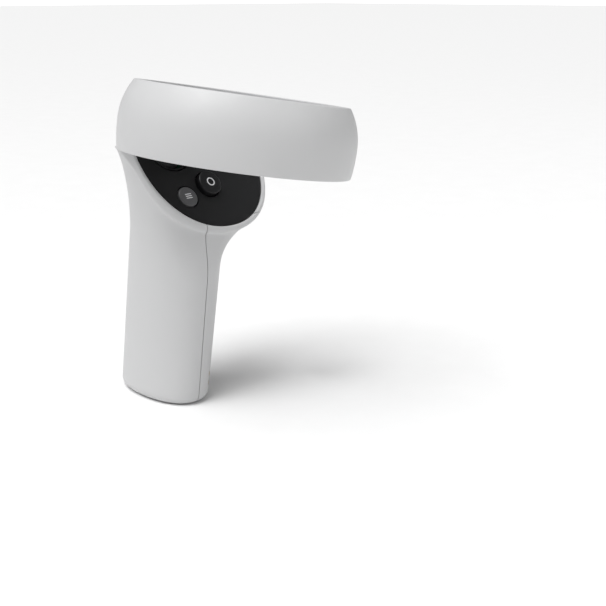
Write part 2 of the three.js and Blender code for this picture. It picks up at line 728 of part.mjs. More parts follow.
function gripButton() {
  const pad = bodySolid(-GRIP.proud).subtract(bodySolid(0.9)).intersect(gripRegion(0));
  const root = bodySolid(0.5).subtract(bodySolid(6.4)).intersect(gripRegion(-1));
  const upper = box(40, 20, 7, 18, 2.2, GRIP.pinZ - 0.6);
  const springSlot = box(7, 5, 9, inHandle(GRIP.pinX, 0, GRIP.pinZ).x, 2.2, GRIP.pinZ);
  const body = pad.add(root.intersect(upper));
  const button = body.subtract(gripPinBar(1 + GAP, 20)).subtract(springSlot.intersect(bodySolid(2)));
  return toMesh("grip_button", largest(button), WHITE);
}

function gripPin() {
  return toMesh("grip_pin", gripPinBar(1, 13.8), STEEL);
}

function gripSpring() {
  const turn = new THREE.Matrix4().makeRotationX(-Math.PI / 2);
  const place = inHandle(GRIP.pinX, 0, GRIP.pinZ);
  turn.setPosition(place.x, 0.4, place.z);
  return toMesh("grip_spring", moved(coil(1.75, 0.8, 4.5, 0.25), turn), STEEL);
}

// ---------------------------------------------------------------- inside the handle
function cellBar(radius, low, high) {
  const { x, y } = CELL_OFFSET;
  return bar(inHandle(x, y, low), inHandle(x, y, high), radius, 32);
}

function innerFrame() {
  const block = leaning(box(17.5, 32.4, FRAME_TOP - 3.2, -2.75, -0.8, (FRAME_TOP + 3.2) / 2));
  const bay = cellBar(CELL_RADIUS + 0.4, CELL_FOOT - 3, FRAME_TOP - 2);
  const bayMouth = coverBox(15.3, 0, 40, CELL_FOOT - 3, FRAME_TOP - 2);
  const channel = coverBox(13, COVER_INNER - 0.4, 40, -5, 90);
  const motorBay = leaning(box(30, 10, 19, 12, MOTOR.y, (MOTOR.low + MOTOR.high) / 2));
  const gripRoom = leaning(sidePrism(gripOutline(2.5), 2, 60));
  const strapRoom = box(9, 8, 8, STRAP_BAR.x, STRAP_BAR.y, 2);
  const rooms = [bay, bayMouth, channel, motorBay, gripRoom, strapRoom];
  let frame = rooms.reduce((rest, room) => rest.subtract(room), block.intersect(INNER_SPACE));
  for (const z of FRAME_SCREW_HEIGHTS) {
    frame = frame.subtract(bar(inHandle(-20, FRAME_SCREW_Y, z), inHandle(-6.9, FRAME_SCREW_Y, z), 3.2));
    frame = frame.subtract(bar(inHandle(-12, FRAME_SCREW_Y, z), inHandle(12, FRAME_SCREW_Y, z), 1.2));
    frame = frame.subtract(bar(inHandle(1.7, FRAME_SCREW_Y, z), inHandle(12, FRAME_SCREW_Y, z), 2.3));
  }
  return toMesh("inner_frame", largest(frame), DARK_PLASTIC);
}

function frameScrews() {
  return FRAME_SCREW_HEIGHTS.map((z, i) => {
    const shank = bar(inHandle(-9.6, FRAME_SCREW_Y, z), inHandle(2.4, FRAME_SCREW_Y, z), 0.85, 16);
    const head = bar(inHandle(2, FRAME_SCREW_Y, z), inHandle(3.4, FRAME_SCREW_Y, z), 1.9, 24);
    return toMesh(`frame_screw_${i + 1}`, shank.add(head), STEEL);
  });
}

function hapticMotor() {
  const { x, y, radius, low, high } = MOTOR;
  const can = bar(inHandle(x, y, low), inHandle(x, y, high), radius, 32);
  return toMesh("haptic_motor", can, STEEL);
}

function cellPadRegion(z, gap) {
  return coverBox(6 + 2 * gap, 0, 30, z - 2.6 - gap, z + 2.6 + gap);
}

function batteryCell() {
  const waist = (CELL_FOOT * 2 + CELL_LENGTH) / 2 - 11;
  let cell = cellBar(CELL_RADIUS, CELL_FOOT, CELL_FOOT + CELL_LENGTH);
  cell = cell.subtract(cellBar(20, waist, waist + 4.4).subtract(cellBar(CELL_RADIUS - 0.45, waist - 1, waist + 5.4)));
  for (const z of Object.values(CELL_PADS)) {
    const recess = cellPadRegion(z, GAP).subtract(cellBar(CELL_RADIUS - 0.5, z - 6, z + 6));
    cell = cell.subtract(recess);
  }
  return toMesh("battery_cell", cell, CELL_BLACK);
}

function cellPads() {
  return Object.entries(CELL_PADS).map(([name, z]) => {
    const sleeve = cellBar(CELL_RADIUS + 0.1, z - 6, z + 6).subtract(cellBar(CELL_RADIUS - 0.2, z - 7, z + 7));
    return toMesh(name, sleeve.intersect(cellPadRegion(z, 0)), STEEL);
  });
}

function cellNub() {
  const top = CELL_FOOT + CELL_LENGTH;
  return toMesh("cell_nub", cellBar(2.7, top + GAP, top + 1.5), STEEL);
}

function batterySpring() {
  const place = inHandle(CELL_OFFSET.x, CELL_OFFSET.y, CELL_FOOT - 2.5);
  const spring = coil(3.6, 0.8, 2.4, 0.3).translate([place.x, place.y, place.z]);
  return toMesh("battery_spring", spring, STEEL);
}

function batteryContact() {
  const top = CELL_FOOT + CELL_LENGTH + 1.5;
  return toMesh("battery_contact", leaning(box(8, 9, 0.5, CELL_OFFSET.x, CELL_OFFSET.y, top + 0.7)), GOLD);
}

// ---------------------------------------------------------------- charging hardware inside the battery cover
function bracketScrewBar(across, radius, inner, outer) {
  const z = (BRACKET.low + BRACKET.high) / 2;
  return bar(atCover(across, inner, z), atCover(across, outer, z), radius, 16);
}

function coverBracket() {
  let bracket = coverBox(11.6, COVER_INNER + 0.9, 22, BRACKET.low, BRACKET.high).intersect(INNER_SPACE);
  for (const across of BRACKET_SCREWS) bracket = bracket.subtract(bracketScrewBar(across, 1.3, 10, 15.2));
  return toMesh("cover_bracket", bracket, PALE_GREY);
}

function bracketScrews() {
  return BRACKET_SCREWS.map((across, i) =>
    toMesh(`bracket_screw_${i + 1}`, bracketScrewBar(across, 0.95, COVER_INNER + 1.1, 14.9), DARK_PLASTIC)
  );
}

function coverContacts() {
  return [-1, 1].map((side) => {
    const leaf = coverBox(1.6, COVER_INNER + 0.1, COVER_INNER + 0.5, 31, 46.6, side * 1.6);
    return toMesh(side < 0 ? "contact_leaf_front" : "contact_leaf_back", leaf, GOLD);
  });
}

function chargeWires() {
  return [-1, 1].map((side) => {
    const strip = coverBox(0.9, COVER_INNER + 1.6, COVER_INNER + 2.1, 14.2, BRACKET.low - GAP, side * 3.4);
    return toMesh(side < 0 ? "charge_wire_front" : "charge_wire_back", strip, COPPER);
  });
}

function chargePinPlaces() {
  return CHARGE_PIN_HEIGHTS.flatMap((z) => CHARGE_PIN_ACROSS.map((across) => ({ across, z })));
}

function chargePinBar({ across, z }, radius) {
  return bar(atCover(across, COVER_INNER + 0.3, z), atCover(across, 25, z), radius, 16);
}

function chargeBlock() {
  let block = coverBox(10.6, COVER_INNER + 0.6, 22, 4.4, 13.4).intersect(INNER_SPACE);
  for (const place of chargePinPlaces()) block = block.subtract(chargePinBar(place, CHARGE_PIN_RADIUS + GAP));
  return toMesh("charge_block", largest(block), DARK_PLASTIC);
}

function chargePins() {
  const skin = bodySolid(0.1);
  return chargePinPlaces().map((place, i) =>
    toMesh(`charge_pin_${i + 1}`, chargePinBar(place, CHARGE_PIN_RADIUS).intersect(skin), GOLD)
  );
}

// ---------------------------------------------------------------- the whole controller
stick.add(stickBezel(), thumbstick(), stickRocker(), stickYoke(), stickModule());
head.add(facePlate(), ...buttons(), buttonMembrane(), mainBoard());
ring.add(ringOuterShell(), ringLiner(), ringLedStrip());
handle.add(palmShell(), fingerShell(), batteryCover(), strapBar());
handle.add(trigger(), triggerPin(), triggerSpring(), gripButton(), gripPin(), gripSpring());
handle.add(innerFrame(), ...frameScrews(), hapticMotor(), batteryCell(), ...cellPads(), cellNub());
handle.add(batterySpring(), batteryContact());
handle.add(coverBracket(), ...bracketScrews(), ...coverContacts(), ...chargeWires(), chargeBlock(), ...chargePins());

export default new THREE.Group().add(handle, head, ring);
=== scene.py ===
import json
import math

import bpy
import numpy as np
from mathutils import Matrix, Vector
from mathutils.bvhtree import BVHTree


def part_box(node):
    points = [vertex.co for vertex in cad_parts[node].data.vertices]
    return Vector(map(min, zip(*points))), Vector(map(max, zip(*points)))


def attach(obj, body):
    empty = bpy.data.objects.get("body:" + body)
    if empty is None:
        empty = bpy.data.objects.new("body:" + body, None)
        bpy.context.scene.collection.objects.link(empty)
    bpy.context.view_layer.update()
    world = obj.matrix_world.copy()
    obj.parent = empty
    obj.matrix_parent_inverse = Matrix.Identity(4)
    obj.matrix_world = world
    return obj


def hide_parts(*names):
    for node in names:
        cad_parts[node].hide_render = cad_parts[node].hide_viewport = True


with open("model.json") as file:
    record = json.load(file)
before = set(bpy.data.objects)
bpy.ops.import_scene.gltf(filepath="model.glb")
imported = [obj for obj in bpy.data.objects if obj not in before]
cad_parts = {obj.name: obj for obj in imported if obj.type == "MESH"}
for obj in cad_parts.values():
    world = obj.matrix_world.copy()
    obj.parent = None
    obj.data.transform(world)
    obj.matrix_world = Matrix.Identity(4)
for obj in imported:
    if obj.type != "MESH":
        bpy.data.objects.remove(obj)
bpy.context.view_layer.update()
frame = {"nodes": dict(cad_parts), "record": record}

# Lengths in this script are millimetres, and to_scene() turns finished meshes into the frame's metres.
MM = 0.001

# ---------------------------------------------------------------- driving dimensions
WALL = 1.9
GAP = 0.3
LEAN = (0.1, -0.045)
FOOT_HALF = (12.9, 23.0)
GROWTH = (0.035, -0.014)
HANDLE_POWER = 2.2
FOOT_ROUND = 3.6
FLARE_START = {"finger": 58, "palm": 62, "back": 66, "front": 50}
RIM_DEPTH = {"finger": 3.4, "palm": 5, "back": 22, "front": 1.6}
RIM_WIDTH = {"finger": 2.4, "palm": 1.3, "back": 4.4, "front": 1.2}
SWELL = {"angle": math.radians(136), "width": math.radians(50), "reach": 5.6}

PLATE_CENTRE = (18.3, -3.3, 96.4)
PLATE_TILT = math.radians(52.6)
PLATE_YAW = math.radians(3.3)
PLATE_HALF = (29.2, 32.3)
PLATE_POWER = 2.12
PLATE_THICKNESS = 1.8
LEDGE = 1.6

RING_CENTRE = (21.7, -25.5, 108.6)
RING_AXIS = (0.158, -0.033, 0.987)
RING_RADIUS = 46.3
RING_HALF_HEIGHT = 13.4
RING_WIDEST = -2.5
RING_TOP_RADIUS = 41.6
RING_FOOT_RADIUS = 45.4
RING_INNER_TOP = 37.9
RING_INNER_FOOT = 40.6
RING_WALL = 1.7
RING_LIP = 1.3

STICK = {"h": -13, "w": 4.2, "hole": 9.6, "depth": 9.5, "skirt": 9.4}
BUTTONS = {
    "x_button": {"h": -2.3, "w": -13.6, "radius": 5.2, "proud": 2.3},
    "y_button": {"h": 4.4, "w": 1.0, "radius": 5.2, "proud": 2.3},
    "menu_button": {"h": -14.6, "w": -17.3, "radius": 4.3, "proud": 0.5},
}

COVER_TOP = 73
COVER_TOP_BACK = -16.5
COVER_SHOULDER = 46
COVER_BACK = -9
COVER_FACING = math.radians(-50)
FINGER_SHELL_FOOT = 2.9
FINGER_SHELL_TOP = 65
FINGER_SHELL_RISE = 0.3
GRIP = {"y": 5, "z": 58.2, "half_length": 15.6, "half_height": 9, "tilt": 0.2, "proud": 3, "power": 2.5,
        "edge": 0.9, "back": 1.6, "pin_x": 10.4, "pin_z": 64.6, "pin_ends": (-8.4, 15.6), "pin_radius": 1}
TRIGGER = {"left": 7.5, "right": 25, "low": 73.6, "high": 94.2, "proud": 3.2, "lip": 2.2, "corner": 4.5,
           "edge": 0.6, "back": 2.2, "lip_height": 8, "ring_gap": 0.8}
TRIGGER_PIVOT = {"x": 19, "y": 12.5, "z": 91, "hub": 8, "radius": 2.8, "bore": 1.4,
                 "arm_depth": 8, "arm_height": 5, "arm_drop": 0.4}
TRIGGER_WINDOW = {"gap": 0.7, "drop": 2, "front": 1}
CHARGE_PIN_HOLE = 1.1
CHARGE_PIN_REACH = 9
STICK_CLEARANCE = 0.5
STRAP_NOTCH = {"width": 3.4, "depth": 9, "height": 9}

COLUMNS = 176
ROUND_SIDES = 160
RING_SIDES = 224

# The camera and lights are in metres, in the frame's own axes.
CAMERA = {"place": (-0.24287, -0.33977, 0.15901), "right": (0.72505, -0.68889, 0.00009),
          "up": (0.19420, 0.20457, 0.95940), "lens": 62.8, "sensor": 36, "near": 0.01}
LIGHT_AIM = (0.02, -0.01, 0.07)
KEY_LIGHT = {"place": (-0.85, 0.05, 0.8), "size": 0.6, "power": 1.6}
FILL_LIGHT = {"place": (0.35, -0.95, 0.55), "size": 0.8, "power": 1.7}
SKY_PANEL = {"from": (-0.35, 0.05, 1), "strength": 3.0, "spread": math.radians(45)}
WORLD_LIGHT = 0.24
WORLD_SEEN = 1.5
FLOOR_HALF = 12
FLOOR_DROP = 0.0002

# ---------------------------------------------------------------- frames of the head, stick and ring
YAWED = Matrix.Translation(PLATE_CENTRE) @ Matrix.Rotation(PLATE_YAW, 4, "Z")
HEAD = YAWED @ Matrix.Rotation(PLATE_TILT, 4, "X")
STICK_FRAME = HEAD @ Matrix.Translation((STICK["h"], STICK["w"], -STICK["depth"]))
RING_TURN = Vector((0, 0, 1)).rotation_difference(Vector(RING_AXIS).normalized())
RING = Matrix.Translation(RING_CENTRE) @ RING_TURN.to_matrix().to_4x4()
LEANING = Matrix(((1, 0, LEAN[0], 0), (0, 1, LEAN[1], 0), (0, 0, 1, 0), (0, 0, 0, 1)))


def carried(points, matrix):
    """Points as an n by 3 array, moved by a 4 by 4 matrix."""
    m = np.array(matrix)
    return np.asarray(points, float) @ m[:3, :3].T + m[:3, 3]


# ---------------------------------------------------------------- solids in millimetres
def solid(points, faces, matrix=None):
    """An object holding a closed mesh, for joining and cutting before it goes into the scene's metres."""
    if matrix is not None:
        points = carried(points, matrix)
    mesh = bpy.data.meshes.new("solid")
    mesh.from_pydata([tuple(p) for p in points], [], [tuple(f) for f in faces])
    mesh.validate()
    obj = bpy.data.objects.new("solid", mesh)
    bpy.context.scene.collection.objects.link(obj)
    return obj


def combined(target, tool, operation):
    """Joins, cuts or intersects the target with the tool, and removes the tool."""
    modifier = target.modifiers.new("combine", "BOOLEAN")
    modifier.operation = operation
    modifier.solver = "MANIFOLD"
    modifier.object = tool
    graph = bpy.context.evaluated_depsgraph_get()
    mesh = bpy.data.meshes.new_from_object(target.evaluated_get(graph))
    target.modifiers.clear()
    target.data = mesh
    bpy.data.objects.remove(tool)
    return target


def cut(target, *tools):
    for tool in tools:
        combined(target, tool, "DIFFERENCE")
    return target


def largest_part(obj):
    """Drops every loose fragment but the one with the most vertices."""
    mesh = obj.data
    parent = list(range(len(mesh.vertices)))

    def root(i):
        while parent[i] != i:
            parent[i] = parent[parent[i]]
            i = parent[i]
        return i

    for edge in mesh.edges:
        a, b = root(edge.vertices[0]), root(edge.vertices[1])
        parent[a] = b
    roots = np.array([root(i) for i in range(len(parent))])
    names, counts = np.unique(roots, return_counts=True)
    kept = roots == names[counts.argmax()]
    place = np.cumsum(kept) - 1
    faces = [[place[v] for v in face.vertices] for face in mesh.polygons if kept[face.vertices[0]]]
    points = [v.co for v in mesh.vertices if kept[v.index]]
    clean = bpy.data.meshes.new("part")
    clean.from_pydata(points, [], faces)
    obj.data = clean
    return obj


def strip(count, below, above, flip=False):
    """Quads between two closed rows of vertices that start at the given indices."""
    quads = []
    for i in range(count):
        j = (i + 1) % count
        quad = (below + i, below + j, above + j, above + i)
        quads.append(quad[::-1] if flip else quad)
    return quads


def lofted(rings, matrix=None):
    """A closed skin through rings of points, with a flat face at each end."""
    count = len(rings[0])
    faces = []
    for row in range(len(rings) - 1):
        faces += strip(count, row * count, (row + 1) * count)
    faces.append(list(range(count))[::-1])
    faces.append([(len(rings) - 1) * count + i for i in range(count)])
    return solid(np.concatenate(rings), faces, matrix)


def prism(outline, low, high, matrix=None):
    """A prism of an anticlockwise [x, y] outline between two heights."""
    flat = np.asarray(outline, float)
    rings = [np.column_stack([flat, np.full(len(flat), z)]) for z in (low, high)]
    return lofted(rings, matrix)


def box(width, depth, height, x, y, z, matrix=None):
    half_x, half_y = width / 2, depth / 2
    corners = [(-half_x, -half_y), (half_x, -half_y), (half_x, half_y), (-half_x, half_y)]
    outline = [(x + across, y + along) for across, along in corners]
    return prism(outline, z - height / 2, z + height / 2, matrix)


def softened(outline, radii, steps=5):
    """The outline with each corner rounded by its own radius, or by one radius for all."""
    count = len(outline)
    if not hasattr(radii, "__len__"):
        radii = [radii] * count
    result = []
    for i, (point, radius) in enumerate(zip(outline, radii)):
        corner = np.array(point, float)
        on_axis_end = i in (0, count - 1) and corner[0] < 1e-6
        before = np.array(outline[i - 1], float) - corner
        after = np.array(outline[(i + 1) % count], float) - corner
        reach = min(radius, 0.45 * np.linalg.norm(before), 0.45 * np.linalg.norm(after))
        if on_axis_end or reach <= 0:
            result.append(tuple(corner))
            continue
        start = corner + before / np.linalg.norm(before) * reach
        end = corner + after / np.linalg.norm(after) * reach
        for t in np.linspace(0, 1, steps + 1):
            result.append(tuple((1 - t) ** 2 * start + 2 * t * (1 - t) * corner + t * t * end))
    return result


def turned(outline, matrix=None, sides=ROUND_SIDES, ripple=None):
    """A closed solid of revolution about Z. The outline of (radius, height) runs from the axis to the
    axis, or closes on itself. ripple(radius, height, angles) can shift the radius round the solid."""
    closed = outline[0][0] > 1e-6
    angles = np.linspace(0, 2 * math.pi, sides, endpoint=False)
    points, starts = [], []
    for radius, height in outline:
        starts.append(len(points))
        if radius < 1e-6:
            points.append((0, 0, height))
            continue
        r = radius + (ripple(radius, height, angles) if ripple else 0 * angles)
        points += list(zip(r * np.cos(angles), r * np.sin(angles), np.full(sides, height)))
    faces = []
    last = len(outline) if closed else len(outline) - 1
    for i in range(last):
        j = (i + 1) % len(outline)
        a, b = starts[i], starts[j]
        for k in range(sides):
            n = (k + 1) % sides
            if outline[i][0] < 1e-6:
                faces.append((a, b + n, b + k))
            elif outline[j][0] < 1e-6:
                faces.append((a + k, a + n, b))
            else:
                faces.append((a + k, a + n, b + n, b + k))
    if signed_area(outline) < 0:
        faces = [face[::-1] for face in faces]
    return solid(points, faces, matrix)


def signed_area(outline):
    area = 0
    for (x1, y1), (x2, y2) in zip(outline, outline[1:] + outline[:1]):
        area += (x1 * y2 - x2 * y1) / 2
    return area


def bar(start, end, radius, sides=48, matrix=None):
    """A round bar between two points."""
    span = Vector(end) - Vector(start)
    turn = Vector((0, 0, 1)).rotation_difference(span.normalized()).to_matrix().to_4x4()
    place = Matrix.Translation(start) @ turn
    outline = [(0, 0), (radius, 0), (radius, span.length), (0, span.length)]
    return turned(outline, (matrix or Matrix.Identity(4)) @ place, sides)


def super_outline(angles, half_x, half_y, power):
    across, along = np.cos(angles), np.sin(angles)
    x = half_x * np.sign(across) * np.abs(across) ** (2 / power)
    y = half_y * np.sign(along) * np.abs(along) ** (2 / power)
    return x, y


def even_angles(half_x, half_y, power, count):
    """Angles that space a superellipse's points evenly along its edge."""
    fine = np.linspace(0, 2 * math.pi, 8001)
    x, y = super_outline(fine, half_x, half_y, power)
    length = np.concatenate([[0], np.cumsum(np.hypot(np.diff(x), np.diff(y)))])
    return np.interp(np.linspace(0, length[-1], count, endpoint=False), length, fine)


# ---------------------------------------------------------------- body surface
def by_angle(values, angles):
    across, along = np.cos(angles), np.sin(angles)
    side = np.where(across > 0, values["finger"], values["palm"])
    end = np.where(along > 0, values["back"], values["front"])
    return side * across**2 + end * along**2


def handle_ring(angles, z, inset):
    z = np.broadcast_to(z, angles.shape)
    half_x = FOOT_HALF[0] + GROWTH[0] * z - inset
    half_y = FOOT_HALF[1] + GROWTH[1] * z - inset
    x, y = super_outline(angles, half_x, half_y, HANDLE_POWER)
    return np.column_stack([LEAN[0] * z + x, LEAN[1] * z + y, z])


def rim_ring(angles, margin, sink=0.0):
    x, y = super_outline(angles, PLATE_HALF[0] + margin, PLATE_HALF[1] + margin, PLATE_POWER)
    return carried(np.column_stack([x, y, np.full(len(angles), -sink)]), HEAD)


def swell(angles):
    """How far the head swells out under the rim at its palm-side back corner."""
    away = np.minimum(np.abs(angles - SWELL["angle"]) / SWELL["width"], 1)
    reach = SWELL["reach"] * np.cos(away * math.pi / 2) ** 2
    return np.outer(reach, (math.cos(SWELL["angle"]), math.sin(SWELL["angle"]), 0))


def bend(start, corner, end, t):
    return (1 - t) ** 2 * start + 2 * t * (1 - t) * corner + t * t * end


def toward(start, end, distance):
    """Points a set distance from start on the way to end, row by row."""
    span = end - start
    length = np.linalg.norm(span, axis=1, keepdims=True)
    return start + span / length * np.minimum(distance[:, None], 0.48 * length)


def body_solid(inset):
    """The outside of the handle and head, pushed in by inset, with a softened sill and rim."""
    angles = even_angles(PLATE_HALF[0], PLATE_HALF[1], PLATE_POWER, COLUMNS)
    rings = []
    foot = FOOT_ROUND - inset
    for turn in np.linspace(0, math.pi / 2, 9):
        height = inset + foot * (1 - math.cos(turn))
        rings.append(handle_ring(angles, height, inset + foot * (1 - math.sin(turn))))
    start = by_angle(FLARE_START, angles)
    for t in np.linspace(0, 1, 12)[1:-1]:
        rings.append(handle_ring(angles, FOOT_ROUND + (start - FOOT_ROUND) * t, inset))

    margin = -LEDGE if inset > 0 else by_angle(RIM_WIDTH, angles) - inset
    roof = rim_ring(angles, margin, PLATE_THICKNESS if inset > 0 else 0)
    depth = np.maximum(by_angle(RIM_DEPTH, angles) - max(inset, 0), 1)
    sill = roof - depth[:, None] * np.array([0, 0, 1]) + swell(angles)
    hip = handle_ring(angles, start, inset)
    span = np.linalg.norm(hip - sill, axis=1, keepdims=True)
    up = np.array(Vector((LEAN[0], LEAN[1], 1)).normalized())
    lift = hip + up * span * 0.42
    middle_x, middle_y = np.full(COLUMNS, PLATE_CENTRE[0] - 8), np.full(COLUMNS, PLATE_CENTRE[1])
    inward = np.column_stack([middle_x, middle_y, sill[:, 2] - 6])
    pull = 0.12 + 0.3 * np.maximum(np.cos(angles), 0)
    reach = sill + (inward - sill) * pull[:, None]

    def flare(t):
        return (1 - t) ** 3 * hip + 3 * t * (1 - t) ** 2 * lift + 3 * t * t * (1 - t) * reach + t**3 * sill

    for t in np.linspace(0, 0.9, 34):
        rings.append(flare(t))
    sill_start = flare(0.9)
    sill_end = toward(sill, roof, 0.45 * depth)
    for t in np.linspace(0, 1, 9)[1:]:
        rings.append(bend(sill_start, sill, sill_end, t))
    if inset > 0:
        rings.append(roof)
    else:
        inner_rim = rim_ring(angles, np.zeros(COLUMNS))
        round_start = toward(roof, sill, np.minimum(0.3 * depth, 0.9))
        round_end = toward(roof, inner_rim, np.full(COLUMNS, 0.7))
        for t in np.linspace(0, 1, 7):
            rings.append(bend(round_start, roof, round_end, t))
        rings.append(inner_rim)
    return lofted(rings)


def ring_outer_radius(s):
    above = s > RING_WIDEST
    span = RING_HALF_HEIGHT - RING_WIDEST if above else RING_WIDEST + RING_HALF_HEIGHT
    edge = RING_TOP_RADIUS if above else RING_FOOT_RADIUS
    return RING_RADIUS - (RING_RADIUS - edge) * (abs(s - RING_WIDEST) / span) ** 2.2


def ring_inner_radius(s):
    t = (s + RING_HALF_HEIGHT) / (2 * RING_HALF_HEIGHT)
    return RING_INNER_FOOT + (RING_INNER_TOP - RING_INNER_FOOT) * t


def ring_zone(gap):
    """Everything outside the ring's inner face, from just below its lower edge upward."""
    low, high = -RING_HALF_HEIGHT - gap, RING_HALF_HEIGHT + 30
    inner = [(ring_inner_radius(s) - gap, s) for s in (low, high)]
    return turned(inner + [(90, high), (90, low)], RING, RING_SIDES)


def inner_space():
    return cut(body_solid(WALL), ring_zone(GAP + WALL))


# ---------------------------------------------------------------- regions of the shells
SIDEWAYS = Matrix(((0, 0, 1, 0), (1, 0, 0, 0), (0, 1, 0, 0), (0, 0, 0, 1)))
BACKWARD = Matrix(((1, 0, 0, 0), (0, 0, -1, 0), (0, 1, 0, 0), (0, 0, 0, 1)))


def side_prism(outline, low, high):
    """A prism of a (y, z) outline between two values of x, leaning with the handle."""
    return prism(outline, low, high, LEANING @ SIDEWAYS)


def cover_region(gap):
    return side_prism(
        [
            (-40, -5),
            (COVER_BACK - gap, -5),
            (COVER_BACK - gap, COVER_SHOULDER - gap),
            (COVER_TOP_BACK - gap, COVER_TOP - gap),
            (-40, COVER_TOP - gap),
        ],
        gap,
        60,
    )


def finger_region(gap):
    outline = [
        (-40, FINGER_SHELL_FOOT + gap),
        (40, FINGER_SHELL_FOOT + gap),
        (40, FINGER_SHELL_TOP + 40 * FINGER_SHELL_RISE - gap),
        (-40, FINGER_SHELL_TOP - 40 * FINGER_SHELL_RISE - gap),
    ]
    return side_prism(outline, gap, 60)


def grip_outline(gap, count=96):
    half = GRIP["half_length"] + gap, GRIP["half_height"] + gap
    angles = even_angles(*half, GRIP["power"], count)
    along, up = super_outline(angles, *half, GRIP["power"])
    c, s = math.cos(GRIP["tilt"]), math.sin(GRIP["tilt"])
    return np.column_stack([GRIP["y"] + c * along - s * up, GRIP["z"] + s * along + c * up])


def trigger_outline(gap, drop=0, steps=10):
    left, right = TRIGGER["left"] - gap, TRIGGER["right"] + gap
    low, high = TRIGGER["low"] - gap - drop, TRIGGER["high"] + gap
    radius = TRIGGER["corner"] + gap
    centres = [(right - radius, high - radius), (left + radius, high - radius)]
    centres += [(left + radius, low + radius), (right - radius, low + radius)]
    points = []
    for quarter, (x, z) in enumerate(centres):
        for angle in np.linspace(quarter, quarter + 1, steps + 1) * math.pi / 2:
            points.append((x + radius * math.cos(angle), z + radius * math.sin(angle)))
    return points


def trigger_window():
    outline = trigger_outline(TRIGGER_WINDOW["gap"], TRIGGER_WINDOW["drop"])
    return prism(outline, -60, -TRIGGER_WINDOW["front"], BACKWARD)


def grip_window():
    return side_prism(grip_outline(TRIGGER_WINDOW["gap"]), 2, 60)


# ---------------------------------------------------------------- materials
def node_of(tree, kind, **inputs):
    node = tree.nodes.new(kind)
    for name, value in inputs.items():
        node.inputs[name.replace("_", " ")].default_value = value
    return node


def started(name):
    """A new material's node tree, its shader and the object's own coordinates."""
    material = bpy.data.materials.new(name)
    material.use_nodes = True
    tree = material.node_tree
    shader = tree.nodes["Principled BSDF"]
    place = tree.nodes.new("ShaderNodeTexCoord").outputs["Object"]
    return material, tree, shader, place


def noise(tree, place, scale, detail=3.0, stretch=None):
    node = node_of(tree, "ShaderNodeTexNoise", Scale=scale, Detail=detail, Roughness=0.6)
    if stretch:
        mapping = tree.nodes.new("ShaderNodeMapping")
        mapping.inputs["Scale"].default_value = stretch
        tree.links.new(place, mapping.inputs["Vector"])
        place = mapping.outputs["Vector"]
    tree.links.new(place, node.inputs["Vector"])
    return node.outputs["Fac"]


def between(tree, factor, low, high, reach=(0.3, 0.7)):
    """A number from low to high as the factor crosses its reach."""
    node = tree.nodes.new("ShaderNodeMapRange")
    for name, value in zip(("From Min", "From Max", "To Min", "To Max"), (*reach, low, high)):
        node.inputs[name].default_value = value
    tree.links.new(factor, node.inputs["Value"])
    return node.outputs["Result"]


def shades(tree, factor, dark, light, reach=(0.3, 0.7)):
    ramp = tree.nodes.new("ShaderNodeValToRGB")
    for element, position, colour in zip(ramp.color_ramp.elements, reach, (dark, light)):
        element.position = position
        element.color = (*colour, 1)
    tree.links.new(factor, ramp.inputs["Fac"])
    return ramp.outputs["Color"]


def raised(tree, shader, height, distance):
    bump = node_of(tree, "ShaderNodeBump", Strength=1.0, Distance=distance)
    tree.links.new(height, bump.inputs["Height"])
    tree.links.new(bump.outputs["Normal"], shader.inputs["Normal"])


def scaled(colour, factor):
    return tuple(min(1, c * factor) for c in colour)


def moulded(
    name, colour, roughness, grain=5200, depth=3e-6, spread=0.05, tint=0.03, sheen=0.0, coat=0.0, gloss=0.45
):
    """Moulded plastic or rubber: spark-eroded grain, slow drift of tone, and handled, smoother patches."""
    material, tree, shader, place = started(name)
    drift = noise(tree, place, 42, 4)
    tone = shades(tree, drift, scaled(colour, 1 - tint), scaled(colour, 1 + tint))
    tree.links.new(tone, shader.inputs["Base Color"])
    patch = noise(tree, place, 160, 6)
    rough = between(tree, patch, roughness - spread, roughness + spread)
    tree.links.new(rough, shader.inputs["Roughness"])
    raised(tree, shader, noise(tree, place, grain, 2), depth)
    shader.inputs["Specular IOR Level"].default_value = gloss
    shader.inputs["Sheen Weight"].default_value = sheen
    shader.inputs["Coat Weight"].default_value = coat
    return material


def metal(name, colour, roughness, stretch=(1, 1, 14), scale=900):
    """Drawn or plated metal: long fine draw lines and a slight unevenness of tone."""
    material, tree, shader, place = started(name)
    lines = noise(tree, place, scale, 5, stretch)
    cloud = noise(tree, place, 210, 3)
    tree.links.new(shades(tree, cloud, scaled(colour, 0.86), colour), shader.inputs["Base Color"])
    tree.links.new(between(tree, lines, roughness - 0.1, roughness + 0.12), shader.inputs["Roughness"])
    raised(tree, shader, lines, 2e-6)
    shader.inputs["Metallic"].default_value = 1.0
    return material


def circuit(name, mask, copper, scale):
    """A circuit board: mask over etched tracks, which stand slightly proud."""
    material, tree, shader, place = started(name)
    cells = node_of(tree, "ShaderNodeTexVoronoi", Scale=scale, Randomness=0.35)
    cells.feature = "DISTANCE_TO_EDGE"
    tree.links.new(place, cells.inputs["Vector"])
    tracks = cells.outputs["Distance"]
    tree.links.new(shades(tree, tracks, copper, mask, (0.03, 0.06)), shader.inputs["Base Color"])
    tree.links.new(between(tree, noise(tree, place, 900, 4), 0.28, 0.45), shader.inputs["Roughness"])
    raised(tree, shader, between(tree, tracks, 1, 0, (0.03, 0.08)), 2e-5)
    return material


